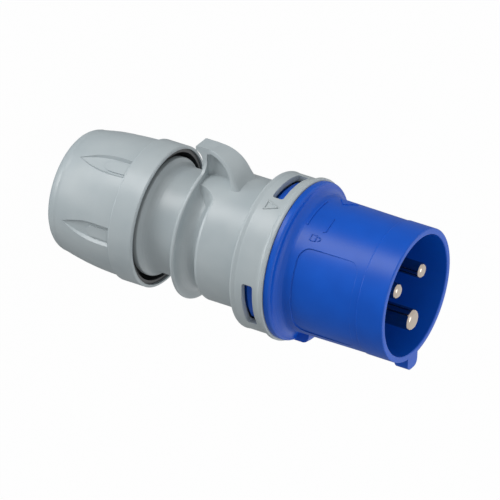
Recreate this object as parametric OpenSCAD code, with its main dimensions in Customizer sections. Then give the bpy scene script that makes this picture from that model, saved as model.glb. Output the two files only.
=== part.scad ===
// Industrial pin and sleeve plug, two poles and earth, straight, with a twist lock body.
// Millimetres. The plug stands on the flat rear face of its cable gland nut.
// +Z runs along the plug towards its pins. The fin is at -X, the key and the earth pin at +X.

/* [Shroud] */
// Length of the whole plug, from the gland nut's rear face to the shroud's rim
plug_len = 124.5; // [124:0.5:132]
// Outer radius of the shroud's front band, which enters the socket
band_r = 21.95; // [21.8:0.05:22.1]
// Length of the front band
band_len = 9.2; // [7:0.2:12]
// Outer radius of the shroud where it leaves the flange
shroud_root_r = 22.05; // [21.9:0.05:22.3]
// Outer radius of the shroud just behind the front band
shroud_waist_r = 21.75; // [21.6:0.05:21.9]
// Wall of the shroud at its rim
shroud_wall = 2.0; // [1.8:0.1:2.4]
// Draft of the shroud's inside, added to its wall at the floor
shroud_draft = 0.35; // [0.1:0.05:0.6]
// Rounding of the rim's edges
rim_round = 0.35; // [0.2:0.05:0.6]
// Depth of the bare label recess, measured from the shroud's root radius
label_depth = 0.33; // [0.28:0.01:0.45]
// Length of the label recess along the plug
label_len = 21; // [16:0.5:22]
// Angle that the label recess covers
label_angle = 85; // [60:1:95]
// Middle of the label recess, from the fin
label_turn = 270.5; // [260:0.5:280]
// Corner radius of the label recess
label_corner = 3.5; // [2:0.1:5]

/* [Flange] */
// Distance from the shroud's rim to the back of the blue flange
rim_to_flange = 40.3; // [39.5:0.1:41.5]
// Radius of the blue flange
flange_r = 25.9; // [25.4:0.1:26.4]
// Thickness of the flange at its edge
flange_t = 2.3; // [2:0.1:3]
// Radius of the hollow fillet between the flange and the shroud
flange_fillet = 3.2; // [2.4:0.1:3.6]
// Angle covered by the boss on the flange in line with the key
boss_angle = 30; // [16:1:36]
// How far that boss stands in front of the flange
boss_len = 4; // [2:0.2:6]

/* [Key] */
// Width of the key
key_w = 6.2; // [5.6:0.1:7.4]
// Radius at the top of the key
key_r = 26.2; // [25.4:0.1:27]
// Length of the key, back from the rim
key_len = 5.5; // [4:0.5:12]
// Rounding of the key's long edges
key_round = 2.3; // [1:0.1:2.6]

/* [Pins] */
// Radius of the circle on which the three pins stand
pin_circle_r = 9; // [8.8:0.1:9.6]
// Radius of the line and neutral pins
line_r = 2.5; // [2.3:0.05:2.7]
// Radius of the earth pin
earth_r = 3.5; // [3.3:0.05:3.6]
// Distance from the rim back to the tips of the line and neutral pins
line_setback = 2; // [1:0.1:4]
// Distance from the rim back to the earth pin's tip
earth_setback = 0.3; // [0.2:0.1:3]
// Length of the line and neutral pins in front of the floor
pin_reach = 36; // [35:0.5:38]
// Rounding of the pins' tips
tip_round = 1.1; // [0.6:0.1:1.4]
// Radius of the round shoulder behind the floor
shoulder_r = 5; // [4.8:0.1:5.4]
// Length of that shoulder
shoulder_len = 6.5; // [5:0.5:8]
// Radius of the wire terminal behind the shoulder
terminal_r = 4.2; // [4.1:0.1:4.4]
// Length of the wire terminal
terminal_len = 14.5; // [14:0.5:15.5]
// Radius of the hole for the wire
wire_hole_r = 2.25; // [2:0.05:2.4]
// Depth of the hole for the wire
wire_hole_len = 12; // [11:0.5:13]

/* [Terminal screws] */
// Thread radius of the terminal screws
screw_r = 1.75; // [1.5:0.05:1.9]
// Radius of the screw heads
screw_head_r = 2.9; // [2.6:0.1:3.1]
// Thickness of the screw heads
screw_head_t = 1.9; // [1.6:0.1:2.1]
// Distance from the terminal's rear end to the screw's axis
screw_inset = 4.6; // [4.4:0.1:5]
// How far each screw stands open
screw_open = 2.2; // [1.8:0.1:2.4]
// Thickness of the saddle that each screw pushes on the wire
saddle_t = 0.7; // [0.5:0.05:0.9]
// Width of the screw's slot
slot_w = 0.8; // [0.6:0.1:1]

/* [Contact carrier] */
// Thickness of the floor that carries the pins
floor_t = 3.8; // [3.4:0.1:4.4]
// Radius of the carrier's rear tube
tube_r = 21.6; // [21.2:0.1:21.9]
// Wall of that tube
tube_wall = 2.1; // [1.6:0.1:2.4]
// Length of that tube behind the flange
tube_len = 9.7; // [9:0.1:10.2]
// Length of the guide rim next to the flange
guide_len = 1.4; // [1:0.1:1.6]
// Half angle of each locking lug
lug_half = 17; // [14:0.5:18]
// Thickness of each locking lug along the plug
lug_t = 3.5; // [3:0.1:3.7]

/* [Retainer] */
// Thickness of the block that holds the pins from behind
retainer_t = 10; // [9.5:0.1:11]
// Radius of the block
retainer_r = 18; // [17.4:0.1:18.1]
// Depth of the wide rooms around the pins' terminals behind the block's step
step_t = 3.5; // [3:0.1:4]
// Radius of the three fixing screws' circle
fix_circle_r = 12.2; // [11.6:0.1:12.6]
// Thread radius of the fixing screws
fix_r = 1.3; // [1.1:0.05:1.5]
// Head radius of the fixing screws
fix_head_r = 2.5; // [2.2:0.1:2.7]
// Head thickness of the fixing screws
fix_head_t = 1.6; // [1.2:0.1:1.8]

/* [Housing] */
// Radius of the grey body drum
drum_r = 21.1; // [21:0.1:21.6]
// Wall of the drum
drum_wall = 2.6; // [2.4:0.1:2.8]
// Distance from the flange back to the collar's rear edge
collar_len = 12.6; // [12.4:0.1:13.4]
// Radius of the collar band
collar_r = 25.65; // [25.4:0.05:26]
// Wall of the collar
collar_wall = 2; // [1.9:0.05:2.3]
// Radius of the collar's front lip
lip_r = 26.6; // [26.2:0.1:27]
// Length of the collar's front lip
lip_len = 2.9; // [2.2:0.1:3.2]
// Half angle of each window
window_half = 19; // [18:0.5:20]
// Turn of the two lower windows from the fin, to either side
window_turn = 106.5; // [100:0.5:112]
// Corner radius of the windows
window_corner = 0.8; // [0.3:0.1:1.4]
// Thickness of the hooks that hold the locking lugs
hook_t = 2.6; // [2.2:0.1:2.8]

/* [Grip] */
// Distance from the collar's rear edge back to the front face of the finger ring
grip_len = 21.9; // [20:0.1:24]
// Radius of the finger ring
ring_r = 22.8; // [22.4:0.1:23.4]
// Thickness of the finger ring at its edge
ring_t = 1.3; // [1.1:0.1:1.8]
// Radius of the round groove in front of the finger ring
groove_r = 3.3; // [2.6:0.1:3.5]
// Angle from the fin to the middle of the hollow in which the groove ends on either side
groove_turn = 42.5; // [41:0.5:45]
// Radius of that hollow at the drum's surface
hollow_r = 9.6; // [9.4:0.1:9.8]
// Radius of the ball that gives the hollow its slope
hollow_ball_r = 12; // [11.5:0.25:12.5]
// Height of the fin above the plug's axis
fin_top = 30.5; // [28.5:0.1:32]
// Half width of the fin at its tip
fin_half = 2.95; // [2.4:0.05:3.4]
// Radius of the fin's long arch
fin_arch_r = 11.9; // [11:0.1:12.6]
// How far the fin's tip hooks back over the neck
fin_hook = 3.3; // [2:0.1:4]
// Thickness of the arch
fin_arch_t = 1.7; // [1.5:0.1:2.2]
// Half thickness of the web under the arch
fin_web_half = 1; // [0.8:0.05:1.4]
// Thickness of the fin's rear wall
fin_wall_t = 1.6; // [1.3:0.1:2.2]
// How much wider the arch is on each side at its foot
fin_flare = 3.4; // [2:0.1:4]
// Radius of the hollow curves between the finger ring and the fin
fin_root_r = 4.4; // [2:0.2:5]
// How far the arch's foot spreads along the drum
fin_foot = 2.4; // [1:0.2:3]

/* [Neck] */
// Radius of the neck
neck_r = 17.5; // [17.3:0.1:18]
// Length of the neck, from the ring's rear face to the neck's rear lip
neck_len = 16.5; // [16:0.1:16.8]
// Radius of the neck's rear lip
neck_lip_r = 19.6; // [19:0.1:19.8]
// Wall of the neck
neck_wall = 2.5; // [2:0.1:2.8]
// Radius of the thread tube behind the neck
thread_r = 15.6; // [15.4:0.05:15.8]
// Length of the thread tube
thread_len = 12; // [11.5:0.5:13]
// Inside radius of the thread tube
thread_bore_r = 13.2; // [13:0.1:13.4]

/* [Gland nut] */
// Length of the gland nut
nut_len = 34.75; // [34:0.25:35.5]
// Radius of the flat rear face
nut_face_r = 15; // [14:0.1:16]
// Radius at the end of the rear rounding
nut_shoulder_r = 20.3; // [20:0.1:20.8]
// Length of the rear rounding
nut_shoulder_len = 5; // [4:0.1:6]
// Radius of the nut where its skirt begins
nut_r = 22.7; // [22.5:0.05:23]
// Length of the skirt
skirt_len = 8.6; // [7.5:0.1:8.8]
// Radius of the skirt
skirt_r = 23.45; // [23.2:0.05:23.8]
// Wall of the skirt at its mouth
skirt_wall = 1; // [0.8:0.1:1.1]
// Thickness of the rear wall
nut_wall = 2.5; // [2.2:0.1:3]
// Radius of the cable hole
cable_hole_r = 9.5; // [8.5:0.1:9.7]
// Inside radius of the nut's shell
nut_bore_r = 19.4; // [19:0.1:19.6]
// Number of grip flutes
flutes = 6; // [5:1:8]
// Distance of each flute's floor from the axis at its point
flute_floor = 20.75; // [20.6:0.05:20.9]
// Slope of the flute's floor
flute_slope = 2.2; // [1.6:0.1:2.6]
// Width of each flute
flute_w = 6.8; // [5:0.1:7.4]
// Distance from the rear face to the flutes' points
flute_start = 7.8; // [6.5:0.1:9]

/* [Cable clamp] */
// Thickness of the slip ring
slip_t = 8; // [6:0.1:8.2]
// Inside radius of the slip ring at its rear face
slip_bore_r = 10.2; // [9.8:0.1:10.6]
// Gap between the slip ring's cone and the clamp's fingers once the nut is tight
cone_gap = 0.3; // [0.1:0.1:0.6]
// Number of the clamp's fingers
fingers = 8; // [6:1:12]
// Width of the slots between the fingers
finger_gap = 2.2; // [1.6:0.1:2.6]
// Wall of the clamp's fingers
finger_wall = 1.5; // [1.2:0.1:1.6]
// Depth of the clamp inside the thread tube
clamp_depth = 5; // [4:0.5:5.5]
// Radius of the opening through the cable seal
seal_bore_r = 6.2; // [6:0.1:6.6]
// Thickness of the seal's flange
seal_flange_t = 2; // [1.5:0.1:2.2]
// Thickness of the gasket between the housing and the flange
gasket_t = 0.7; // [0.5:0.05:0.9]

/* [Fits] */
// Radial clearance of a turning or sliding fit
run_fit = 0.08; // [0.05:0.01:0.1]
// Gap between faces that must pass each other
face_gap = 0.1; // [0.05:0.01:0.2]
// Radial clearance of a part that is dropped into its seat
seat_fit = 0.1; // [0.05:0.01:0.2]
// Gap in front of the collar's lip, which the flange passes as it turns
rim_gap = 0.2; // [0.1:0.05:0.3]
// Free gap between curved faces that never meet
free_gap = 0.35; // [0.3:0.05:0.5]

/* [Hidden] */
$fn = 96;
BLUE = "#1f56c4";
GREY = "#aab4b6";
DARK = "#25282b";
NATURAL = "#e4e1d6";
IVORY = "#d9d3bd";
NICKEL = "#c9bfa9";
STEEL = "#b9bcc0";

// Angles around the plug are counted from the fin, towards the side that is seen
// on the right when the pins are looked at.
LINE_TURN = 60;
NEUTRAL_TURN = 300;
EARTH_TURN = 180;
KEY_TURN = 180;
ROUND_STEPS = 6;

// Stations along the plug
flange_back = plug_len - rim_to_flange;
flange_front = flange_back + flange_t;
shroud_foot = flange_front + flange_fillet + 0.5;
band_z = plug_len - band_len;
floor_front = plug_len - line_setback - pin_reach;
floor_back = floor_front - floor_t;
gasket_back = flange_back - gasket_t;
lip_front = gasket_back - face_gap;
rim_front = flange_back - rim_gap;
collar_z = flange_back - collar_len;
collar_floor = collar_z + 2.2;
tube_back = flange_back - tube_len;
guide_back = flange_back - guide_len;
hook_front = guide_back - face_gap;
hook_back = hook_front - hook_t;
lug_front = hook_back - face_gap;
lug_back = lug_front - lug_t;
window_front = hook_back;
window_back = window_front - lug_t - 0.3;
ring_front = collar_z - grip_len;
ring_back = ring_front - ring_t;
neck_back = ring_back - neck_len;
thread_back = neck_back - thread_len;
skirt_z = nut_len - skirt_len;
terminal_front = floor_back - shoulder_len;
terminal_back = terminal_front - terminal_len;
retainer_back = floor_back - retainer_t;
screw_z = terminal_back + screw_inset;

// Distances of the saddles and the screws from the plug's axis, as they stand open
saddle_x = pin_circle_r + wire_hole_r + 0.02;
tip_x = saddle_x + saddle_t + face_gap;
head_x = pin_circle_r + terminal_r + screw_open;

// Radii that follow from their neighbours
collar_bore_r = collar_r - collar_wall;
lug_r = collar_bore_r - run_fit;
hook_r = tube_r + run_fit;
drum_bore_r = drum_r - drum_wall;
tube_bore_r = tube_r - tube_wall;
shroud_bore_r = band_r - shroud_wall;
shroud_floor_r = shroud_bore_r - shroud_draft;
label_floor_r = shroud_root_r - label_depth;
label_z = shroud_foot + 1.5;
skirt_bore_r = skirt_r - skirt_wall;
sleeve_front_r = skirt_bore_r - 0.05;
sleeve_rear_r = nut_bore_r - 0.1;
sleeve_thread_r = thread_r + run_fit;
gasket_r = flange_r - 0.8;
neck_bore_r = neck_r - neck_wall;
ledge_z = thread_back + clamp_depth + seal_flange_t + 0.2;
clamp_r = thread_bore_r - seat_fit;
finger_r = clamp_r + 0.3;
finger_bore_r = finger_r - finger_wall - 0.3;
seal_r = finger_bore_r - seat_fit;
slip_back = nut_wall + face_gap;
slip_front = slip_back + slip_t;
finger_tip_z = slip_front + cone_gap;
slip_mouth_r = slip_bore_r + 3.6;
slip_ring_r = nut_bore_r - 2.6 - free_gap;

// Points along an arc, from angle a0 to angle a1
function arc(cx, cy, r, a0, a1, steps = ROUND_STEPS) =
    [for (i = [0:steps]) let (a = a0 + (a1 - a0) * i / steps) [cx + r * cos(a), cy + r * sin(a)]];

// Points along a quarter of an ellipse or any part of it
function bow(cx, cy, rx, ry, a0, a1, steps = ROUND_STEPS) =
    [for (i = [0:steps]) let (a = a0 + (a1 - a0) * i / steps) [cx + rx * cos(a), cy + ry * sin(a)]];

// Turns its children from the fin's direction, which is -X, to another place around the plug
module turned(angle) {
    rotate([0, 0, 180 - angle]) children();
}

// Part of a revolved profile, given by its middle and its half angle
module sector(middle, half) {
    rotate([0, 0, 180 - middle - half]) rotate_extrude(angle = 2 * half) children();
}

// Rectangle with round corners, centred
module round_rect(w, h, r) {
    polygon(concat(
        arc(w / 2 - r, h / 2 - r, r, 0, 90), arc(-w / 2 + r, h / 2 - r, r, 90, 180),
        arc(-w / 2 + r, -h / 2 + r, r, 180, 270), arc(w / 2 - r, -h / 2 + r, r, 270, 360)));
}

// Closed solid through rings of points that all have the same number of points
module loft(rings) {
    n = len(rings[0]);
    last = len(rings) - 1;
    polyhedron(
        points = [for (ring = rings, p = ring) p],
        faces = concat(
            [[for (i = [0:n - 1]) i]],
            [for (k = [0:last - 1], i = [0:n - 1], half = [0, 1])
                let (a = k * n + i, b = k * n + (i + 1) % n)
                half == 0 ? [a, a + n, b + n] : [a, b + n, b]],
            [[for (i = [n - 1:-1:0]) last * n + i]]));
}

// Blue carrier: shroud, flange, floor and locking tube, moulded in one
module contact_carrier() {
    color(BLUE) difference() {
        union() {
            rotate_extrude() polygon(concat(
                [[0, floor_back], [tube_bore_r, floor_back], [tube_bore_r, tube_back],
                 [tube_r, tube_back], [tube_r, guide_back], [lug_r, guide_back], [lug_r, flange_back]],
                [[flange_r, flange_back]],
                arc(flange_r - 1, flange_front - 1, 1, 0, 75, 4),
                arc(shroud_root_r + flange_fillet, flange_front + flange_fillet - 0.1,
                    flange_fillet, 262, 180),
                [[shroud_root_r, shroud_foot], [shroud_waist_r, band_z - 0.2], [band_r, band_z]],
                arc(band_r - rim_round, plug_len - rim_round, rim_round, 0, 90, 3),
                arc(shroud_bore_r + rim_round, plug_len - rim_round, rim_round, 90, 180, 3),
                [[shroud_floor_r, floor_front + 0.6], [shroud_floor_r - 0.6, floor_front],
                 [0, floor_front]]));
            for (turn = [0, window_turn, 360 - window_turn]) locking_lug(turn);
            flange_boss();
            key_rib();
        }
        label_recess();
        pin_hole(LINE_TURN, line_r);
        pin_hole(NEUTRAL_TURN, line_r);
        pin_hole(EARTH_TURN, earth_r);
        for (turn = [0, 120, 240]) turned(turn)
            translate([fix_circle_r, 0, floor_back - 0.01]) cylinder(r = fix_r - 0.1, h = floor_t - 1);
    }
}

// Bayonet lug that shows through a window of the collar
module locking_lug(turn) {
    sector(turn, lug_half) polygon([
        [tube_r - 0.5, lug_back], [lug_r - 0.6, lug_back], [lug_r, lug_back + 0.6],
        [lug_r, lug_front], [tube_r - 0.5, lug_front]]);
}

// Boss in front of the flange, in line with the key
module flange_boss() {
    boss_front = flange_front + boss_len;
    sector(KEY_TURN, boss_angle / 2) polygon(concat(
        [[shroud_root_r - 0.6, flange_front - 1.2], [flange_r + 0.2, flange_front - 1.2]],
        arc(flange_r - 1.6, boss_front - 1.8, 1.8, 0, 90, 5),
        [[shroud_root_r - 0.6, boss_front]]));
}

// Key at the shroud's rim
module key_rib() {
    turned(KEY_TURN) intersection() {
        translate([0, 0, plug_len - key_len]) linear_extrude(height = key_len) polygon(concat(
            [[shroud_bore_r + 0.8, -key_w / 2]],
            arc(key_r - key_round, -key_w / 2 + key_round, key_round, 270, 360),
            arc(key_r - key_round, key_w / 2 - key_round, key_round, 0, 90),
            [[shroud_bore_r + 0.8, key_w / 2]]));
        rotate_extrude() polygon([
            [0, plug_len - key_len - 1], [shroud_waist_r, plug_len - key_len],
            [key_r + 1, plug_len - key_len + 1.4], [key_r + 1, plug_len - 0.4],
            [key_r - 0.3, plug_len], [0, plug_len]]);
    }
}

// Shallow bare recess for a label, with round corners
module label_recess() {
    intersection() {
        rotate_extrude() translate([label_floor_r, label_z - 1]) square([2, label_len + 2]);
        turned(label_turn) translate([0, 0, label_z + label_len / 2]) rotate([0, 90, 0])
            linear_extrude(height = shroud_root_r + 1)
            round_rect(label_len, 2 * shroud_root_r * sin(label_angle / 2), label_corner);
    }
}

// Hole through the floor for one pin
module pin_hole(turn, pin_r) {
    turned(turn) translate([pin_circle_r, 0, floor_back - 1])
        cylinder(r = pin_r + 0.3 + seat_fit / 2, h = floor_t + 2);
}

// One pin, turned in one piece with its shoulder and its wire terminal
module pin(turn, pin_r, tip_z) {
    color(NICKEL) turned(turn) difference() {
        translate([pin_circle_r, 0, 0]) rotate_extrude() polygon(concat(
            [[0, terminal_back], [terminal_r - 0.3, terminal_back], [terminal_r, terminal_back + 0.3],
             [terminal_r, terminal_front], [shoulder_r, terminal_front], [shoulder_r, floor_back],
             [pin_r + 0.3, floor_back], [pin_r + 0.3, floor_front + 0.2], [pin_r, floor_front + 0.2]],
            arc(pin_r - tip_round, tip_z - tip_round, tip_round, 0, 90, 5),
            [[0, tip_z]]));
        translate([pin_circle_r, 0, terminal_back - 1]) cylinder(r = wire_hole_r, h = wire_hole_len + 1);
        translate([pin_circle_r, 0, screw_z]) rotate([0, 90, 0])
            cylinder(r = screw_r + run_fit, h = terminal_r + 1);
    }
}

// Terminal screw, seen from the plug's axis outwards
module terminal_screw(turn) {
    color(STEEL) turned(turn) translate([0, 0, screw_z]) rotate([0, 90, 0]) difference() {
        rotate_extrude() polygon([
            [0, tip_x], [screw_r - 0.4, tip_x], [screw_r, tip_x + 0.4], [screw_r, head_x],
            [screw_head_r, head_x], [screw_head_r, head_x + screw_head_t - 0.5],
            [screw_head_r - 0.5, head_x + screw_head_t], [0, head_x + screw_head_t]]);
        translate([-slot_w / 2, -screw_head_r - 1, head_x + screw_head_t - 0.9])
            cube([slot_w, 2 * screw_head_r + 2, 1]);
    }
}

// Saddle under the tip of a terminal screw, which presses on the wire
module saddle(turn) {
    color(STEEL) turned(turn) translate([saddle_x, 0, screw_z]) rotate([0, 90, 0])
        cylinder(r = screw_r - 0.25, h = saddle_t);
}

// Insulating block that holds the three pins from behind
module pin_retainer() {
    step_z = terminal_front;
    color(IVORY) difference() {
        rotate_extrude() polygon([
            [0, retainer_back], [retainer_r - 0.8, retainer_back], [retainer_r, retainer_back + 0.8],
            [retainer_r, floor_back], [0, floor_back]]);
        for (turn = [LINE_TURN, NEUTRAL_TURN, EARTH_TURN]) turned(turn) {
            translate([pin_circle_r, 0, step_z]) cylinder(r = shoulder_r + seat_fit, h = retainer_t);
            translate([pin_circle_r, 0, retainer_back - 1])
                cylinder(r = terminal_r + seat_fit, h = retainer_t);
        }
        for (turn = [0, 120, 240]) turned(turn) translate([fix_circle_r, 0, 0]) {
            translate([0, 0, retainer_back - 1]) cylinder(r = fix_r + seat_fit, h = retainer_t + 2);
            translate([0, 0, retainer_back - 1]) cylinder(r = fix_head_r + seat_fit, h = fix_head_t + 1.4);
        }
    }
}

// Self tapping screw that fixes the retainer to the carrier's floor
module fixing_screw(turn) {
    head_z = retainer_back + 0.4;
    color(STEEL) turned(turn) translate([fix_circle_r, 0, 0]) difference() {
        rotate_extrude() polygon([
            [0, head_z], [fix_head_r - 0.4, head_z], [fix_head_r, head_z + 0.4],
            [fix_head_r, head_z + fix_head_t], [fix_r, head_z + fix_head_t],
            [fix_r, floor_back + 2.2], [fix_r - 0.6, floor_back + 2.7], [0, floor_back + 2.7]]);
        for (a = [0, 90]) rotate([0, 0, a]) translate([-slot_w / 2, -1.5, head_z - 1])
            cube([slot_w, 3, 1.9]);
    }
}

// Flat rubber gasket behind the blue flange
module flange_gasket() {
    color(DARK) rotate_extrude() translate([lug_r + seat_fit, gasket_back])
        square([gasket_r - lug_r - seat_fit, gasket_t]);
}

// Outline of the grey housing without its fin and its round groove
function housing_outline() = concat(
    [[thread_r, thread_back + 0.6], [thread_r, neck_back]],
    arc(neck_lip_r - 1.3, neck_back + 1.3, 1.3, 280, 360, 5),
    arc(neck_lip_r - 0.9, neck_back + 2.2, 0.9, 0, 50, 4),
    bow(neck_r + 2.2, neck_back + 7.6, 2.2, 4.6, 236, 180, 4),
    bow(neck_r + 2.6, ring_back - 2.6, 2.6, 2.6, 180, 90),
    arc(ring_r - 0.5, ring_back + 0.5, 0.5, 270, 360, 3),
    arc(ring_r - 0.5, ring_front - 0.5, 0.5, 0, 90, 3),
    [[drum_r, ring_front], [drum_r, collar_z], [collar_r - 1.5, collar_z]],
    arc(collar_r - 0.75, collar_z + 0.95, 0.9, 280, 360, 4),
    [[collar_r - 0.05, collar_z + 2.1], [collar_r, collar_z + 2.6], [collar_r, rim_front - lip_len]],
    bow(lip_r, rim_front - lip_len, lip_r - collar_r, 1.7, 180, 90, 4),
    arc(lip_r - 0.4, rim_front - 0.4, 0.4, 0, 90, 3),
    [[gasket_r + 0.3, rim_front], [gasket_r + 0.3, lip_front]]);

// Inside of the housing, from the front to the rear
function housing_hollow() = [
    [collar_bore_r, lip_front], [collar_bore_r, collar_floor], [drum_bore_r, collar_floor],
    [drum_bore_r, ring_front + 11], [neck_bore_r, ring_front + 6.6], [neck_bore_r, neck_back + 1.5],
    [thread_bore_r - 2.4, neck_back - 2], [thread_bore_r - 2.4, ledge_z],
    [thread_bore_r, ledge_z], [thread_bore_r, thread_back], [thread_r - 0.6, thread_back]];

// Grey housing: thread tube, neck, finger ring, fin, drum and locking collar
module housing() {
    color(GREY) difference() {
        union() {
            difference() {
                rotate_extrude() polygon(concat(housing_outline(), housing_hollow()));
                finger_groove();
            }
            fin();
            for (turn = [0, window_turn, 360 - window_turn]) lug_hook(turn);
            lock_stop();
        }
        for (turn = [0, window_turn, 360 - window_turn]) window(turn);
    }
}

// Round groove in front of the finger ring. It ends in a ball shaped hollow on both sides of the fin.
module finger_groove() {
    groove_z = ring_front + groove_r;
    intersection() {
        rotate_extrude() polygon(concat(
            [[drum_r + 4, ring_front]], arc(drum_r, groove_z, groove_r, 270, 96, 12),
            [[drum_r, groove_z + groove_r + 0.9], [drum_r + 4, groove_z + groove_r + 0.9]]));
        union() {
            sector(180, 180 - groove_turn) translate([4, ring_front - 2]) square([drum_r + 3, hollow_r + 4]);
            for (turn = [groove_turn, 360 - groove_turn]) turned(turn)
                translate([drum_r + sqrt(pow(hollow_ball_r, 2) - pow(hollow_r, 2)), 0, ring_front - 1.1])
                sphere(r = hollow_ball_r);
        }
    }
}

// Side view of the fin's rear wall and hooked tip, with z across and the height upwards
function hook_side() =
    let (z0 = ring_front + 0.3, zb = ring_back - 0.6, cy = fin_top - fin_arch_r,
         tip = zb - fin_hook + 0.7, zf = zb + fin_wall_t)
    concat(
        [[zf, fin_top - fin_arch_t - 0.3], [z0 + 1, fin_top - fin_arch_t]],
        arc(z0, cy, fin_arch_r, 84, 90, 1),
        arc(tip + 0.5, fin_top - 0.5, 0.5, 90, 180, 4),
        arc(zb - fin_hook, fin_top - 1.5 - fin_hook, fin_hook, 78, 0, 6),
        [[zb, neck_r], [zf, neck_r]]);

// Side view of the web under the arch
function web_side() =
    let (z0 = ring_front + 0.3, cy = fin_top - fin_arch_r, r = fin_arch_r - fin_arch_t / 2)
    concat([[ring_back + 0.2, neck_r], [z0 + r, neck_r]], arc(z0, cy, r, 0, 100, 14));

// Cross section of the arch at angle a around the arch's centre, shifted back by d.
// The arch widens and rounds towards its foot, and its foot spreads onto the drum.
function arch_ring(a, d = 0) =
    let (f = 1 - a / 90, s = max(0, 1 - a / 28), w = fin_half + fin_flare * f,
         e = 0.3 + 1.3 * f * f, ro = fin_arch_r - 0.02 + fin_foot * s * s, ri = fin_arch_r - fin_arch_t,
         z0 = ring_front + 0.3, cy = fin_top - fin_arch_r)
    [for (p = concat([[ri + 0.3, -w], [ri, -w + 0.3], [ri, w - 0.3], [ri + 0.3, w]],
            [for (b = [0:22.5:90]) [ro - e + e * sin(b), w - e + e * cos(b)]],
            [for (b = [90:-22.5:0]) [ro - e + e * sin(b), -w + e - e * cos(b)]]))
        [-cy - p[0] * sin(a), p[1], z0 + p[0] * cos(a) - d]];

// Face view of the hollow curves that lead from the finger ring up to the fin
module fin_root() {
    cx = fin_half + fin_root_r;
    cy = sqrt(pow(ring_r - 0.1 + fin_root_r, 2) - cx * cx);
    foot = atan2(cy, cx) - 180;
    side = arc(cx, cy, fin_root_r, foot, -180, 6);
    polygon(concat([[-neck_r - 1.5, -cx], [-neck_r - 1.5, cx]],
        [for (p = side) [-p[1], p[0]]],
        [for (i = [6:-1:0]) [-side[i][1], -side[i][0]]]));
}

// Shark fin that the fingers pull on: rear wall, web and arch
module fin() {
    zf = ring_back - 0.6 + fin_wall_t;
    cove = fin_half - fin_web_half;
    difference() {
        union() {
            translate([0, 0, ring_back + 0.15]) linear_extrude(height = ring_t - 0.3) fin_root();
            rotate([0, -90, 0]) rotate([90, 0, 0])
                linear_extrude(height = 2 * fin_half, center = true) polygon(hook_side());
            rotate([0, -90, 0]) rotate([90, 0, 0])
                linear_extrude(height = 2 * fin_web_half, center = true) polygon(web_side());
            for (side = [-1, 1]) rotate([0, -90, 0]) linear_extrude(height = fin_top - 1)
                polygon(concat([[zf - 0.5, side * (fin_web_half - 0.2)], [zf - 0.5, side * (fin_half - 0.05)]],
                    [for (p = arc(zf + cove, fin_half - 0.05, cove, 180, 266, 5)) [p[0], side * p[1]]],
                    [[zf + cove, side * (fin_web_half - 0.2)]]));
            loft(concat([arch_ring(90, 1.5)], [for (a = [90:-6:6]) arch_ring(a)], [arch_ring(1.5)]));
        }
        rotate_extrude() polygon([
            [0, 0], [neck_r - 0.9, 0], [neck_r - 0.9, ring_front - 0.2],
            [drum_r - 1.1, ring_front + 5], [drum_r - 1.1, plug_len], [0, plug_len]]);
    }
}

// Inward hook in front of a locking lug
module lug_hook(turn) {
    sector(turn, window_half) translate([hook_r, hook_back])
        square([collar_bore_r + 0.5 - hook_r, hook_t]);
}

// Stop that the top lug meets when the carrier is fully closed
module lock_stop() {
    sector(360 - lug_half - 2, 1.2) translate([hook_r, collar_floor])
        square([collar_bore_r + 0.5 - hook_r, hook_front - collar_floor]);
}

// Window in the collar behind a hook
module window(turn) {
    w = 2 * collar_r * sin(window_half);
    h = window_front - window_back;
    turned(turn) translate([0, 0, (window_front + window_back) / 2]) rotate([0, 90, 0])
        translate([0, 0, collar_bore_r - 2]) linear_extrude(height = 6)
        round_rect(h, w, window_corner);
}

// Ring with spring fingers that the gland nut closes on the cable
module clamp_cage() {
    color(NATURAL) difference() {
        rotate_extrude() polygon([
            [finger_bore_r, finger_tip_z + 0.4], [finger_bore_r + 0.4, finger_tip_z],
            [finger_r - 1, finger_tip_z], [finger_r, finger_tip_z + 2.6],
            [finger_r, thread_back - 1.5], [thread_r - 0.4, thread_back - 1.5],
            [thread_r - 0.4, thread_back], [clamp_r, thread_back],
            [clamp_r, thread_back + clamp_depth], [finger_bore_r, thread_back + clamp_depth]]);
        for (i = [0:fingers - 1]) rotate([0, 0, (i + 0.5) * 360 / fingers])
            translate([0, -finger_gap / 2, finger_tip_z - 1])
            cube([finger_r + 2, finger_gap, thread_back - finger_tip_z - 0.7]);
    }
}

// Rubber seal around the cable, with three lips inside
module cable_seal() {
    front = thread_back + clamp_depth + seal_flange_t;
    rear = finger_tip_z + 1;
    lip = (front - rear) / 6;
    color(DARK) rotate_extrude() polygon([
        [seal_r - 0.6, rear], [seal_r, rear + 0.6], [seal_r, thread_back + clamp_depth],
        [clamp_r, thread_back + clamp_depth], [clamp_r, front],
        [seal_bore_r + 1, front], [seal_bore_r, front - lip], [seal_bore_r + 1, front - 2 * lip],
        [seal_bore_r, front - 3 * lip], [seal_bore_r + 1, front - 4 * lip],
        [seal_bore_r, front - 5 * lip], [seal_bore_r + 1.4, rear]]);
}

// Radius of the nut's long barrel at height z
function barrel_r(z) =
    let (t = (z - nut_shoulder_len) / (skirt_z - nut_shoulder_len))
    nut_shoulder_r + (nut_r - nut_shoulder_r) * (1 - (1 - t) * (1 - t));

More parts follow.
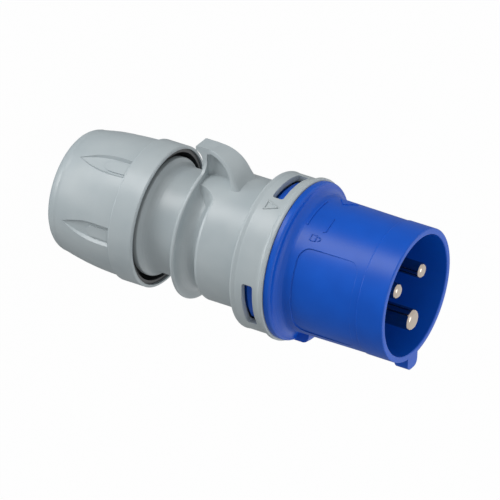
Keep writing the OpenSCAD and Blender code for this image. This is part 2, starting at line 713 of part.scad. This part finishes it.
// Grey shell of the gland nut
module gland_nut() {
    color(GREY) difference() {
        rotate_extrude() polygon(concat(
            [[cable_hole_r, 0]],
            bow(nut_face_r, nut_shoulder_len, nut_shoulder_r - nut_face_r, nut_shoulder_len, 270, 360, 8),
            [for (i = [1:8]) let (z = nut_shoulder_len + (skirt_z - nut_shoulder_len) * i / 8)
                [barrel_r(z), z]],
            arc(skirt_r - 0.4, skirt_z + 0.4, 0.4, 290, 360, 3),
            [[skirt_r, nut_len - 0.35], [skirt_r - 0.35, nut_len], [skirt_bore_r, nut_len],
             [skirt_bore_r, skirt_z + 0.6], [nut_bore_r, skirt_z + 0.6], [nut_bore_r, nut_wall + 3.2],
             [nut_bore_r - 2.2, nut_wall + 0.6], [nut_bore_r - 2.6, nut_wall],
             [cable_hole_r, nut_wall]]));
        for (i = [0:flutes - 1]) turned(360 / flutes * (i + 0.5)) flute();
    }
}

// Bullet shaped grip flute with a raised flat pad in it
module flute() {
    half = flute_w / 2;
    len = skirt_z - flute_start + 0.3;
    translate([flute_floor, 0, flute_start]) rotate([0, flute_slope, 0]) difference() {
        loft([for (x = [0, 1, 3]) [for (p = bullet(half + (x - 1) * 0.8, 13, len)) [x, p[0], p[1] - x * 0.8]]]);
        translate([-1, 0, 9]) rotate([0, 90, 0]) rotate([0, 0, 90]) linear_extrude(height = 1.4)
            polygon(bullet(half - 1.5, 2.5, len));
    }
}

// Outline of a flute: pointed at one end, then opening to its full width
function bullet(half, nose, len) = concat(
    [[0, 0]],
    [for (i = [1:9]) [half * (1 - pow(1 - i / 9, 2)), nose * i / 9]],
    [[half, len], [-half, len]],
    [for (i = [9:-1:1]) [-half * (1 - pow(1 - i / 9, 2)), nose * i / 9]]);

// Dark inner sleeve of the gland nut, which carries its thread
module thread_sleeve() {
    thread_front = skirt_z + 0.6;
    web_front = thread_front + 1.2;
    color(DARK) rotate_extrude() polygon([
        [sleeve_rear_r, thread_front - 12], [sleeve_rear_r, thread_front],
        [sleeve_front_r, thread_front], [sleeve_front_r, nut_len - 0.7],
        [sleeve_front_r - 1.2, nut_len - 0.7], [sleeve_front_r - 1.2, web_front],
        [sleeve_thread_r + 0.4, web_front], [sleeve_thread_r, web_front - 0.4],
        [sleeve_thread_r, thread_front - 4], [sleeve_thread_r + 0.4, thread_front - 4.4],
        [sleeve_rear_r - 1.2, thread_front - 4.4], [sleeve_rear_r - 1.2, thread_front - 12]]);
}

// Ring between the nut and the clamp, whose cone closes the fingers without turning
module slip_ring() {
    color(NATURAL) rotate_extrude() polygon([
        [slip_bore_r, slip_back], [slip_ring_r - 0.4, slip_back], [slip_ring_r, slip_back + 0.4],
        [slip_ring_r, slip_front], [slip_mouth_r, slip_front]]);
}

contact_carrier();
pin(LINE_TURN, line_r, plug_len - line_setback);  // line_pin
pin(NEUTRAL_TURN, line_r, plug_len - line_setback);  // neutral_pin
pin(EARTH_TURN, earth_r, plug_len - earth_setback);  // earth_pin
terminal_screw(LINE_TURN);  // line_screw
terminal_screw(NEUTRAL_TURN);  // neutral_screw
terminal_screw(EARTH_TURN);  // earth_screw
saddle(LINE_TURN);  // line_saddle
saddle(NEUTRAL_TURN);  // neutral_saddle
saddle(EARTH_TURN);  // earth_saddle
pin_retainer();
fixing_screw(0);  // fixing_screw_top
fixing_screw(120);  // fixing_screw_right
fixing_screw(240);  // fixing_screw_left
flange_gasket();
housing();
clamp_cage();
cable_seal();
gland_nut();
thread_sleeve();
slip_ring();
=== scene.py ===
"""Looks of an industrial pin and sleeve plug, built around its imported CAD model."""

import math

import bpy
from mathutils import Matrix, Vector


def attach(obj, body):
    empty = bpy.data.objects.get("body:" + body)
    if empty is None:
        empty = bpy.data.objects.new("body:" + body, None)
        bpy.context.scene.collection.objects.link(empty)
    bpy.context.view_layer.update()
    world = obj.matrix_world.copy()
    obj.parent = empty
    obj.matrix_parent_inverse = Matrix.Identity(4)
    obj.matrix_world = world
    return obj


bl_info = {
    "name": "Pin and sleeve plug",
    "version": (1, 0, 0),
    "blender": (4, 5, 0),
    "location": "View3D > Sidebar > Plug",
    "description": "Moulded marks, finishes and a studio for an industrial plug",
    "category": "Object",
}

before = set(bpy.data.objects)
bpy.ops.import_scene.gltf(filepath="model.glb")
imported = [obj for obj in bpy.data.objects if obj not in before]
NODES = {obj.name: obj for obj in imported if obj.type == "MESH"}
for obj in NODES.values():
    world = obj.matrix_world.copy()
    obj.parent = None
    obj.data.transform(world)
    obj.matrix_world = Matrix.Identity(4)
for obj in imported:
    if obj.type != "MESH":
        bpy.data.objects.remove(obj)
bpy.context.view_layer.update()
MM = 0.001

# The camera stands where the photograph was taken from, with a lens of 500 mm
CAMERA_PLACE = Vector((-1.0785, -1.6701, 0.9841))
CAMERA_RIGHT = Vector((-0.03855, 0.50096, 0.86461))
CAMERA_UP = Vector((-0.86902, 0.41032, -0.27648))
CAMERA_BACK = Vector((-0.49327, -0.76202, 0.41953))
CAMERA_LENS = 500

# Soft boxes that look at the plug's middle: direction, width in metres, power in watts
PLUG_MIDDLE = Vector((0, 0, 0.062))
LAMP_DISTANCE = 1.5
LAMPS = {
    "key_lamp": (Vector((-0.82, -0.33, -0.47)), 0.7, 11.5),
    "low_lamp": (Vector((-0.27, -0.42, -0.87)), 0.7, 9.5),
    "top_lamp": (Vector((0, 0, 1)), 0.9, 6.5),
}
# The floor's width in metres, its own grey, and how brightly and how fully it shows white to
# the camera
FLOOR_SIZE = 6
FLOOR_GREY = "#8f9192"
FLOOR_GLOW = 1.02
FLOOR_GLOW_SHARE = 0.96
# The surroundings have strength 1 to the camera and are dimmer as a light on the plug. Their
# reflection goes this share of the way back to 1
WORLD_LIGHT = 0.6
WORLD_REFLECTION = 0.7

# Rounding that a mould leaves on an edge, and the size of the clouds in the melt's flow
MOULDED_EDGE = 0.25 * MM
FLOW_CLOUD = 14 * MM
# How far the grain takes the roughness up and down
GRAIN_GLOSS = 0.05
# Rays that the bevel shader looks round an edge with
EDGE_RAYS = 6
# Size of the clouds in a plating, and the share of their unevenness that dulls the tint
PLATING_CLOUD = 2.5 * MM
PLATING_TINT = 0.4
# Tool rings are a noise drawn out across the plug's axis
RING_STRETCH = (0.02, 0.02, 1.0)

# A mark's flat sheet starts this far above its surface. A stroke has a corner this often,
# and the pointed pad's edges are cut this many times, so that both bend round the plug
SHEET_LIFT = 2 * MM
SHEET_STEP = 0.35 * MM
PAD_CUTS = 14
# Middles of the marks: clock angle from the fin in degrees, place along the axis
TRIANGLE_PLACE = (333, 78 * MM)
ARROW_REAR_PLACE = (349, 90.2 * MM)
ARROW_FRONT_PLACE = (338, 97.2 * MM)
POINTER_PLACE = (16.7, 95.2 * MM)
PADLOCK_PLACE = (322.5, 95 * MM)
# Strokes of the marks in millimetres from the middle: across, along, across, along
TRIANGLE_STROKES = [(-1.75, -2, 1.75, -2), (-1.75, -2, 0, 2), (1.75, -2, 0, 2)]
PADLOCK_BODY = [(-1.1, -1.6, 1.1, -1.6), (-1.1, 0.2, 1.1, 0.2),
                (-1.1, -1.6, -1.1, 0.2), (1.1, -1.6, 1.1, 0.2)]
PADLOCK_SHACKLE = [(-0.7, 0.2, -0.7, 1.2), (0.7, 0.2, 0.7, 1.2), (-0.7, 1.2, -0.3, 1.7),
                   (0.7, 1.2, 0.3, 1.7), (-0.3, 1.7, 0.3, 1.7)]
# Reach of the arrow's lines to either side in degrees of turn, and the front line's hook
ARROW_REAR_REACH = 18
ARROW_FRONT_REACH = 8
HOOK_REACH = 9
HOOK_DROP_MM = 0.8

FINISH_OF_NODE = {
    "contact_carrier": "blue_polyamide",
    "housing": "grey_polyamide",
    "gland_nut": "grey_polyamide",
    # The sleeve's black finish is painted shade in the nut's deep mouth
    "thread_sleeve": "black_polypropylene",
    "line_pin": "nickel_plated_brass",
    "neutral_pin": "nickel_plated_brass",
    "earth_pin": "nickel_plated_brass",
    "line_screw": "zinc_plated_steel",
    "neutral_screw": "zinc_plated_steel",
    "earth_screw": "zinc_plated_steel",
    "line_saddle": "zinc_plated_steel",
    "neutral_saddle": "zinc_plated_steel",
    "earth_saddle": "zinc_plated_steel",
    "fixing_screw_top": "zinc_plated_steel",
    "fixing_screw_right": "zinc_plated_steel",
    "fixing_screw_left": "zinc_plated_steel",
    "pin_retainer": "ivory_polyester",
    "flange_gasket": "black_rubber",
    "cable_seal": "black_rubber",
    "clamp_cage": "natural_polyamide",
    "slip_ring": "natural_polyamide",
}


class PlugMarkSizes(bpy.types.PropertyGroup):
    """Sizes of the moulded marks"""

    collar_radius: bpy.props.FloatProperty(
        name="Collar radius", description="Radius of the grey collar under the triangle",
        default=25.65 * MM, unit="LENGTH", subtype="DISTANCE")
    shroud_radius: bpy.props.FloatProperty(
        name="Shroud radius", description="Radius of the blue shroud under its marks",
        default=22.0 * MM, unit="LENGTH", subtype="DISTANCE")
    line_height: bpy.props.FloatProperty(
        name="Line height", description="How far the shroud's fine lines stand out",
        default=0.2 * MM, unit="LENGTH", subtype="DISTANCE")
    line_width: bpy.props.FloatProperty(
        name="Line width", description="Width of the arrow's front line",
        default=0.32 * MM, unit="LENGTH", subtype="DISTANCE")
    sign_width: bpy.props.FloatProperty(
        name="Padlock line width", description="Width of the padlock sign's lines",
        default=0.256 * MM, unit="LENGTH", subtype="DISTANCE")
    ridge_height: bpy.props.FloatProperty(
        name="Ridge height", description="How far the arrow's rear line and the pad stand out",
        default=0.36 * MM, unit="LENGTH", subtype="DISTANCE")
    ridge_width: bpy.props.FloatProperty(
        name="Ridge width", description="Width of the arrow's rear line",
        default=0.576 * MM, unit="LENGTH", subtype="DISTANCE")
    pad_length: bpy.props.FloatProperty(
        name="Pad length", description="Length of the shroud's small pointed pad",
        default=5 * MM, unit="LENGTH", subtype="DISTANCE")
    pad_width: bpy.props.FloatProperty(
        name="Pad width", description="Width of the shroud's small pointed pad",
        default=6.6 * MM, unit="LENGTH", subtype="DISTANCE")
    triangle_height: bpy.props.FloatProperty(
        name="Triangle height", description="How far the collar's triangle stands out",
        default=0.32 * MM, unit="LENGTH", subtype="DISTANCE")
    triangle_width: bpy.props.FloatProperty(
        name="Triangle line width", description="Width of the lines of the collar's triangle",
        default=0.45 * MM, unit="LENGTH", subtype="DISTANCE")


class PlugColours(bpy.types.PropertyGroup):
    """Colours of the plug's plastics and metals, as sRGB hex values"""

    grey: bpy.props.StringProperty(
        name="Grey", description="Light grey of the housing and the gland nut",
        default="#b2bbbe")
    grey_shade: bpy.props.StringProperty(
        name="Grey shade", description="Slightly darker grey in the moulding's flow",
        default="#a9b3b7")
    blue: bpy.props.StringProperty(
        name="Blue", description="Blue of the shroud", default="#0656c6")
    blue_shade: bpy.props.StringProperty(
        name="Blue shade", description="Slightly darker blue in the moulding's flow",
        default="#0550bc")
    # The sleeve's black and its darker tone are painted shade in the nut's deep mouth
    black: bpy.props.StringProperty(
        name="Black", description="Black of the thread sleeve", default="#34383b")
    black_shade: bpy.props.StringProperty(
        name="Black shade", description="Slightly darker black in the moulding's flow",
        default="#2c3033")
    rubber: bpy.props.StringProperty(
        name="Rubber", description="Black of the gasket and the seal", default="#17181a")
    rubber_shade: bpy.props.StringProperty(
        name="Rubber shade", description="Darker black in the rubber", default="#0f1012")
    natural: bpy.props.StringProperty(
        name="Natural", description="Undyed polyamide of the clamp", default="#e2dfd2")
    natural_shade: bpy.props.StringProperty(
        name="Natural shade", description="Slightly darker undyed polyamide",
        default="#d6d1bf")
    ivory: bpy.props.StringProperty(
        name="Ivory", description="Insulating block behind the pins", default="#d8d0b6")
    ivory_shade: bpy.props.StringProperty(
        name="Ivory shade", description="Slightly darker ivory in the block",
        default="#cbc2a4")
    nickel: bpy.props.StringProperty(
        name="Nickel", description="Pale warm nickel on the pins", default="#bdb1a5")
    zinc: bpy.props.StringProperty(
        name="Zinc", description="Bluish zinc on the screws", default="#b4b9c0")


def linear(hex_colour):
    """Linear RGBA of an sRGB hex value."""
    values = [int(hex_colour[i:i + 2], 16) / 255 for i in (1, 3, 5)]
    return [v / 12.92 if v <= 0.04045 else ((v + 0.055) / 1.055) ** 2.4
            for v in values] + [1.0]


def add_node(tree, kind, settings=None, links=None):
    """Adds a node, sets its properties or sockets and links its inputs to other nodes."""
    new = tree.nodes.new(kind)
    for key, value in (settings or {}).items():
        if isinstance(key, str) and hasattr(new, key):
            setattr(new, key, value)
        else:
            new.inputs[key].default_value = value
    for key, (other, output) in (links or {}).items():
        tree.links.new(other.outputs[output], new.inputs[key])
    return new


def moulded(name, main, shade, roughness, grain_mm, depth_mm, specular=0.5):
    """Moulded plastic: an eroded steel mould leaves a fine even grain, the melt's flow leaves
    very faint clouds of colour and gloss, and the edges come out slightly rounded."""
    material = bpy.data.materials.new(name)
    material.use_nodes = True
    tree = material.node_tree
    shader = tree.nodes["Principled BSDF"]
    shader.inputs["Specular IOR Level"].default_value = specular
    place = add_node(tree, "ShaderNodeTexCoord")
    clouds = add_node(tree, "ShaderNodeTexNoise", {"Scale": 1 / FLOW_CLOUD, "Detail": 2.0},
                      {"Vector": (place, "Object")})
    tint = add_node(tree, "ShaderNodeValToRGB", None, {"Fac": (clouds, "Fac")})
    low, high = tint.color_ramp.elements
    low.position, low.color = 0.35, linear(shade)
    high.position, high.color = 0.65, linear(main)
    grain = add_node(tree, "ShaderNodeTexNoise", {"Scale": 1 / (grain_mm * MM), "Detail": 3.0},
                     {"Vector": (place, "Object")})
    gloss = add_node(tree, "ShaderNodeMapRange",
                     {"To Min": roughness - GRAIN_GLOSS, "To Max": roughness + GRAIN_GLOSS},
                     {"Value": (grain, "Fac")})
    rounded = add_node(tree, "ShaderNodeBevel", {"samples": EDGE_RAYS, "Radius": MOULDED_EDGE})
    bump = add_node(tree, "ShaderNodeBump", {"Strength": 1.0, "Distance": depth_mm * MM},
                    {"Height": (grain, "Fac"), "Normal": (rounded, "Normal")})
    tree.links.new(tint.outputs["Color"], shader.inputs["Base Color"])
    tree.links.new(gloss.outputs["Result"], shader.inputs["Roughness"])
    tree.links.new(bump.outputs["Normal"], shader.inputs["Normal"])


def plated_metal(name, colour, roughness, unevenness, ring_mm, depth_mm):
    """Turned metal with a thin plating: the tool leaves fine rings along the plug, and the
    plating softens them and varies by a share, its unevenness, in gloss and tint."""
    material = bpy.data.materials.new(name)
    material.use_nodes = True
    tree = material.node_tree
    shader = tree.nodes["Principled BSDF"]
    shader.inputs["Metallic"].default_value = 1.0
    place = add_node(tree, "ShaderNodeTexCoord")
    stretch = add_node(tree, "ShaderNodeMapping", {"Scale": RING_STRETCH},
                       {"Vector": (place, "Object")})
    rings = add_node(tree, "ShaderNodeTexNoise", {"Scale": 1 / (ring_mm * MM), "Detail": 2.0},
                     {"Vector": (stretch, "Vector")})
    clouds = add_node(tree, "ShaderNodeTexNoise", {"Scale": 1 / PLATING_CLOUD, "Detail": 3.0},
                      {"Vector": (place, "Object")})
    gloss = add_node(tree, "ShaderNodeMapRange",
                     {"To Min": roughness * (1 - unevenness),
                      "To Max": roughness * (1 + unevenness)},
                     {"Value": (clouds, "Fac")})
    tint = add_node(tree, "ShaderNodeValToRGB", None, {"Fac": (clouds, "Fac")})
    low, high = tint.color_ramp.elements
    low.position = 0.3
    low.color = [(1 - PLATING_TINT * unevenness) * v for v in linear(colour)[:3]] + [1.0]
    high.position, high.color = 0.6, linear(colour)
    bump = add_node(tree, "ShaderNodeBump", {"Strength": 1.0, "Distance": depth_mm * MM},
                    {"Height": (rings, "Fac")})
    tree.links.new(tint.outputs["Color"], shader.inputs["Base Color"])
    tree.links.new(gloss.outputs["Result"], shader.inputs["Roughness"])
    tree.links.new(bump.outputs["Normal"], shader.inputs["Normal"])


def around(turn, radius, z):
    """Place at a clock angle from the fin, as seen when the pins are looked at."""
    angle = math.radians(180 - turn)
    return Vector((radius * math.cos(angle), radius * math.sin(angle), z))


def select_only(objects):
    """Selects the objects and makes the first one active."""
    bpy.ops.object.select_all(action="DESELECT")
    for thing in objects:
        thing.select_set(True)
    bpy.context.view_layer.objects.active = objects[0]


def stroke_sheet(strokes, place, radius, width):
    """One flat sheet of line strokes that faces outwards above its place.
    Each stroke is (across, along, across, along) in millimetres."""
    turn, z = place
    outward = around(turn, 1, 0)
    along = Vector((0, 0, 1))
    across = along.cross(outward)
    middle = around(turn, radius + SHEET_LIFT, z)
    sheets = []
    for x0, z0, x1, z1 in strokes:
        length = math.hypot(x1 - x0, z1 - z0) * MM + width
        bpy.ops.object.select_all(action="DESELECT")
        bpy.ops.mesh.primitive_grid_add(
            x_subdivisions=max(2, round(length / SHEET_STEP)), y_subdivisions=2, size=1)
        sheet = bpy.context.object
        run = (across * (x1 - x0) + along * (z1 - z0)).normalized()
        side = outward.cross(run)
        centre = middle + across * (x0 + x1) / 2 * MM + along * (z0 + z1) / 2 * MM
        turned = Matrix((run, side, outward)).transposed().to_4x4()
        sheet.matrix_world = (Matrix.Translation(centre) @ turned
                              @ Matrix.Diagonal((length, width, 1, 1)))
        sheets.append(sheet)
    select_only(sheets)
    if len(sheets) > 1:
        bpy.ops.object.join()
    bpy.ops.object.transform_apply(location=True, rotation=True, scale=True)
    return bpy.context.object


def pointed_sheet(place, radius, reach, width):
    """One flat triangle that faces outwards and points against the clock angle."""
    turn, z = place
    outward = around(turn, 1, 0)
    across = Vector((0, 0, 1)).cross(outward)
    bpy.ops.object.select_all(action="DESELECT")
    bpy.ops.mesh.primitive_circle_add(vertices=3, radius=1, fill_type="NGON")
    sheet = bpy.context.object
    turned = Matrix((across.cross(outward), across, outward)).transposed().to_4x4()
    # A three-cornered circle of radius 1 is 1.5 high and the root of 3 wide
    sheet.matrix_world = (Matrix.Translation(around(turn, radius + SHEET_LIFT, z)) @ turned
                          @ Matrix.Diagonal((width / math.sqrt(3), reach / 1.5, 1, 1)))
    bpy.ops.object.transform_apply(location=True, rotation=True, scale=True)
    bpy.ops.object.mode_set(mode="EDIT")
    bpy.ops.mesh.select_all(action="SELECT")
    bpy.ops.mesh.subdivide(number_cuts=PAD_CUTS)
    bpy.ops.object.mode_set(mode="OBJECT")
    return sheet


def press_on(sheet, carrier, height):
    """Lays a flat sheet on the surface of a CAD node, gives it its height and rounds it."""
    wrap = sheet.modifiers.new("lay", "SHRINKWRAP")
    wrap.target = NODES[carrier]
    wrap.wrap_method = "NEAREST_SURFACEPOINT"
    wrap.wrap_mode = "OUTSIDE_SURFACE"
    wrap.offset = height
    wall = sheet.modifiers.new("wall", "SOLIDIFY")
    wall.thickness = 2 * height
    wall.offset = -1
    edge = sheet.modifiers.new("edge", "BEVEL")
    edge.width = height / 3
    edge.segments = 2
    edge.angle_limit = math.radians(50)
    select_only([sheet])
    for step in ("lay", "wall", "edge"):
        bpy.ops.object.modifier_apply(modifier=step)


def mark(name, sheet, height, carrier, body, finish):
    """A raised mark, laid on a CAD node and riding on its body."""
    press_on(sheet, carrier, height)
    sheet.name = name
    sheet.data.name = name
    sheet.data.materials.clear()
    sheet.data.materials.append(bpy.data.materials[finish])
    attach(sheet, body)


class PLUG_OT_finishes(bpy.types.Operator):
    """Makes the finishes and gives one to every CAD node"""

    bl_idname = "plug.finishes"
    bl_label = "Finishes"

    def execute(self, context):
        colours = context.scene.plug_colours
        # PA6 with a fine grain: soft broad highlights, no sharp reflection
        moulded("grey_polyamide", colours.grey, colours.grey_shade,
                roughness=0.34, grain_mm=0.3, depth_mm=0.003)
        # PA6 from a smoother mould: deeper colour and a weaker, still soft highlight
        moulded("blue_polyamide", colours.blue, colours.blue_shade,
                roughness=0.35, grain_mm=0.3, depth_mm=0.002, specular=0.34)
        # Black sleeve inside the nut, barely shiny: its black is painted shade for the nut's
        # deep mouth
        moulded("black_polypropylene", colours.black, colours.black_shade,
                roughness=0.4, grain_mm=0.3, depth_mm=0.004)
        # Vulcanised rubber: matt black
        moulded("black_rubber", colours.rubber, colours.rubber_shade,
                roughness=0.75, grain_mm=0.12, depth_mm=0.012, specular=0.3)
        # Undyed polyamide: milky and slightly waxy
        moulded("natural_polyamide", colours.natural, colours.natural_shade,
                roughness=0.4, grain_mm=0.4, depth_mm=0.006)
        # Glass filled polyester: dry matt ivory
        moulded("ivory_polyester", colours.ivory, colours.ivory_shade,
                roughness=0.55, grain_mm=0.15, depth_mm=0.01)
        # Nickel on turned brass: pale warm metal
        plated_metal("nickel_plated_brass", colours.nickel,
                     roughness=0.15, unevenness=0.1, ring_mm=0.8, depth_mm=0.0003)
        # Zinc on cold headed steel: cooler and duller
        plated_metal("zinc_plated_steel", colours.zinc,
                     roughness=0.34, unevenness=0.25, ring_mm=0.3, depth_mm=0.002)
        for name, finish in FINISH_OF_NODE.items():
            mesh = NODES[name].data
            mesh.materials.clear()
            mesh.materials.append(bpy.data.materials[finish])
        return {"FINISHED"}


class PLUG_OT_collar_triangle(bpy.types.Operator):
    """Adds the small triangle on the collar that points at the carrier's closed place"""

    bl_idname = "plug.collar_triangle"
    bl_label = "Collar triangle"

    def execute(self, context):
        sizes = context.scene.plug_marks
        sheet = stroke_sheet(TRIANGLE_STROKES, TRIANGLE_PLACE, sizes.collar_radius,
                             sizes.triangle_width)
        mark("collar_triangle", sheet, sizes.triangle_height, "housing", "housing",
             "grey_polyamide")
        return {"FINISHED"}


class PLUG_OT_shroud_marks(bpy.types.Operator):
    """Adds the turning arrow, the padlock sign and the small pad on the shroud"""

    bl_idname = "plug.shroud_marks"
    bl_label = "Shroud marks"

    def execute(self, context):
        sizes = context.scene.plug_marks
        radius = sizes.shroud_radius
        # Length of one degree of turn on the shroud, in millimetres
        degree = math.radians(1) * radius / MM
        reach = ARROW_REAR_REACH * degree
        ridge = stroke_sheet([(-reach, 0, reach, 0)], ARROW_REAR_PLACE, radius,
                             sizes.ridge_width)
        self.add_mark("arrow_rear_line", ridge, sizes.ridge_height)
        pad = pointed_sheet(POINTER_PLACE, radius, sizes.pad_length, sizes.pad_width)
        self.add_mark("shroud_pointer", pad, sizes.ridge_height)
        reach, hook = ARROW_FRONT_REACH * degree, HOOK_REACH * degree
        line = stroke_sheet([(-reach, 0, reach, 0), (reach, 0, hook, -HOOK_DROP_MM)],
                            ARROW_FRONT_PLACE, radius, sizes.line_width)
        self.add_mark("arrow_front_line", line, sizes.line_height)
        sign = stroke_sheet(PADLOCK_BODY + PADLOCK_SHACKLE, PADLOCK_PLACE, radius,
                            sizes.sign_width)
        self.add_mark("padlock_sign", sign, sizes.line_height)
        return {"FINISHED"}

    def add_mark(self, name, sheet, height):
        """A mark on the blue shroud."""
        mark(name, sheet, height, "contact_carrier", "contact_insert", "blue_polyamide")


class PLUG_OT_stage(bpy.types.Operator):
    """Adds the floor, the soft lamps, the white surroundings and the camera"""

    bl_idname = "plug.stage"
    bl_label = "Stage"

    def execute(self, context):
        scene = context.scene
        scene.view_settings.view_transform = "Standard"
        self.add_floor()
        self.add_world(scene)
        for name, (direction, size, power) in LAMPS.items():
            self.add_lamp(name, direction, size, power)
        self.add_camera(scene)
        return {"FINISHED"}

    def add_floor(self):
        """A matt floor that shows white to the camera, but lights the plug as a mid grey."""
        bpy.ops.object.select_all(action="DESELECT")
        bpy.ops.mesh.primitive_plane_add(size=FLOOR_SIZE)
        floor = bpy.context.object
        floor.name = "floor"
        # The photograph's main light comes from below here, so the floor lets it through
        floor.visible_shadow = False
        material = bpy.data.materials.new("pale_floor_paint")
        material.use_nodes = True
        tree = material.node_tree
        shader = tree.nodes["Principled BSDF"]
        shader.inputs["Base Color"].default_value = linear(FLOOR_GREY)
        shader.inputs["Roughness"].default_value = 0.9
        rays = add_node(tree, "ShaderNodeLightPath")
        glow = add_node(tree, "ShaderNodeEmission", {"Strength": FLOOR_GLOW})
        share = add_node(tree, "ShaderNodeMath",
                         {"operation": "MULTIPLY", 1: FLOOR_GLOW_SHARE},
                         {0: (rays, "Is Camera Ray")})
        mixed = add_node(tree, "ShaderNodeMixShader", None,
                         {0: (share, "Value"), 1: (shader, "BSDF"), 2: (glow, "Emission")})
        surface = tree.nodes["Material Output"].inputs["Surface"]
        tree.links.new(mixed.outputs["Shader"], surface)
        floor.data.materials.append(material)

    def add_world(self, scene):
        """White for the camera, a little darker in reflections, dimmer as a light."""
        world = bpy.data.worlds.new("studio")
        world.use_nodes = True
        tree = world.node_tree
        sky = tree.nodes["Background"]
        sky.inputs["Color"].default_value = (1, 1, 1, 1)
        rays = add_node(tree, "ShaderNodeLightPath")
        mirrored = add_node(tree, "ShaderNodeMath",
                            {"operation": "MULTIPLY", 1: WORLD_REFLECTION},
                            {0: (rays, "Is Glossy Ray")})
        bright = add_node(tree, "ShaderNodeMath", {"operation": "MAXIMUM"},
                          {0: (rays, "Is Camera Ray"), 1: (mirrored, "Value")})
        clear = add_node(tree, "ShaderNodeMath", {"operation": "MAXIMUM"},
                         {0: (bright, "Value"), 1: (rays, "Is Transmission Ray")})
        strength = add_node(tree, "ShaderNodeMapRange",
                            {"To Min": WORLD_LIGHT, "To Max": 1.0},
                            {"Value": (clear, "Value")})
        tree.links.new(strength.outputs["Result"], sky.inputs["Strength"])
        scene.world = world

    def add_lamp(self, name, direction, size, power):
        """A square soft box that looks at the plug."""
        direction = direction.normalized()
        bpy.ops.object.select_all(action="DESELECT")
        bpy.ops.object.light_add(type="AREA",
                                 location=PLUG_MIDDLE + direction * LAMP_DISTANCE)
        lamp = bpy.context.object
        lamp.name = name
        lamp.rotation_euler = direction.to_track_quat("Z", "Y").to_euler()
        lamp.data.size = size
        lamp.data.energy = power

    def add_camera(self, scene):
        """The photograph's view."""
        bpy.ops.object.select_all(action="DESELECT")
        bpy.ops.object.camera_add()
        camera = bpy.context.object
        camera.name = "photo_camera"
        turned = Matrix((CAMERA_RIGHT, CAMERA_UP, CAMERA_BACK)).transposed().to_4x4()
        camera.matrix_world = Matrix.Translation(CAMERA_PLACE) @ turned
        camera.data.sensor_width = 36
        camera.data.lens = CAMERA_LENS
        camera.data.clip_start = 0.2
        camera.data.clip_end = 20
        scene.camera = camera


class PLUG_PT_panel(bpy.types.Panel):
    """Lists the plug's sizes, colours and steps"""

    bl_idname = "PLUG_PT_panel"
    bl_label = "Plug"
    bl_space_type = "VIEW_3D"
    bl_region_type = "UI"
    bl_category = "Plug"

    def draw(self, context):
        for group in (context.scene.plug_marks, context.scene.plug_colours):
            for key in group.__annotations__:
                self.layout.prop(group, key)
        for step in STEPS:
            self.layout.operator(step.bl_idname)


STEPS = (PLUG_OT_finishes, PLUG_OT_collar_triangle, PLUG_OT_shroud_marks, PLUG_OT_stage)
CLASSES = (PlugMarkSizes, PlugColours) + STEPS + (PLUG_PT_panel,)


def register():
    for each in CLASSES:
        bpy.utils.register_class(each)
    bpy.types.Scene.plug_marks = bpy.props.PointerProperty(type=PlugMarkSizes)
    bpy.types.Scene.plug_colours = bpy.props.PointerProperty(type=PlugColours)


def unregister():
    del bpy.types.Scene.plug_marks
    del bpy.types.Scene.plug_colours
    for each in reversed(CLASSES):
        bpy.utils.unregister_class(each)


def main():
    register()
    bpy.ops.plug.finishes()
    bpy.ops.plug.collar_triangle()
    bpy.ops.plug.shroud_marks()
    bpy.ops.plug.stage()
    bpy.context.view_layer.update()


if __name__ == "__main__":
    main()
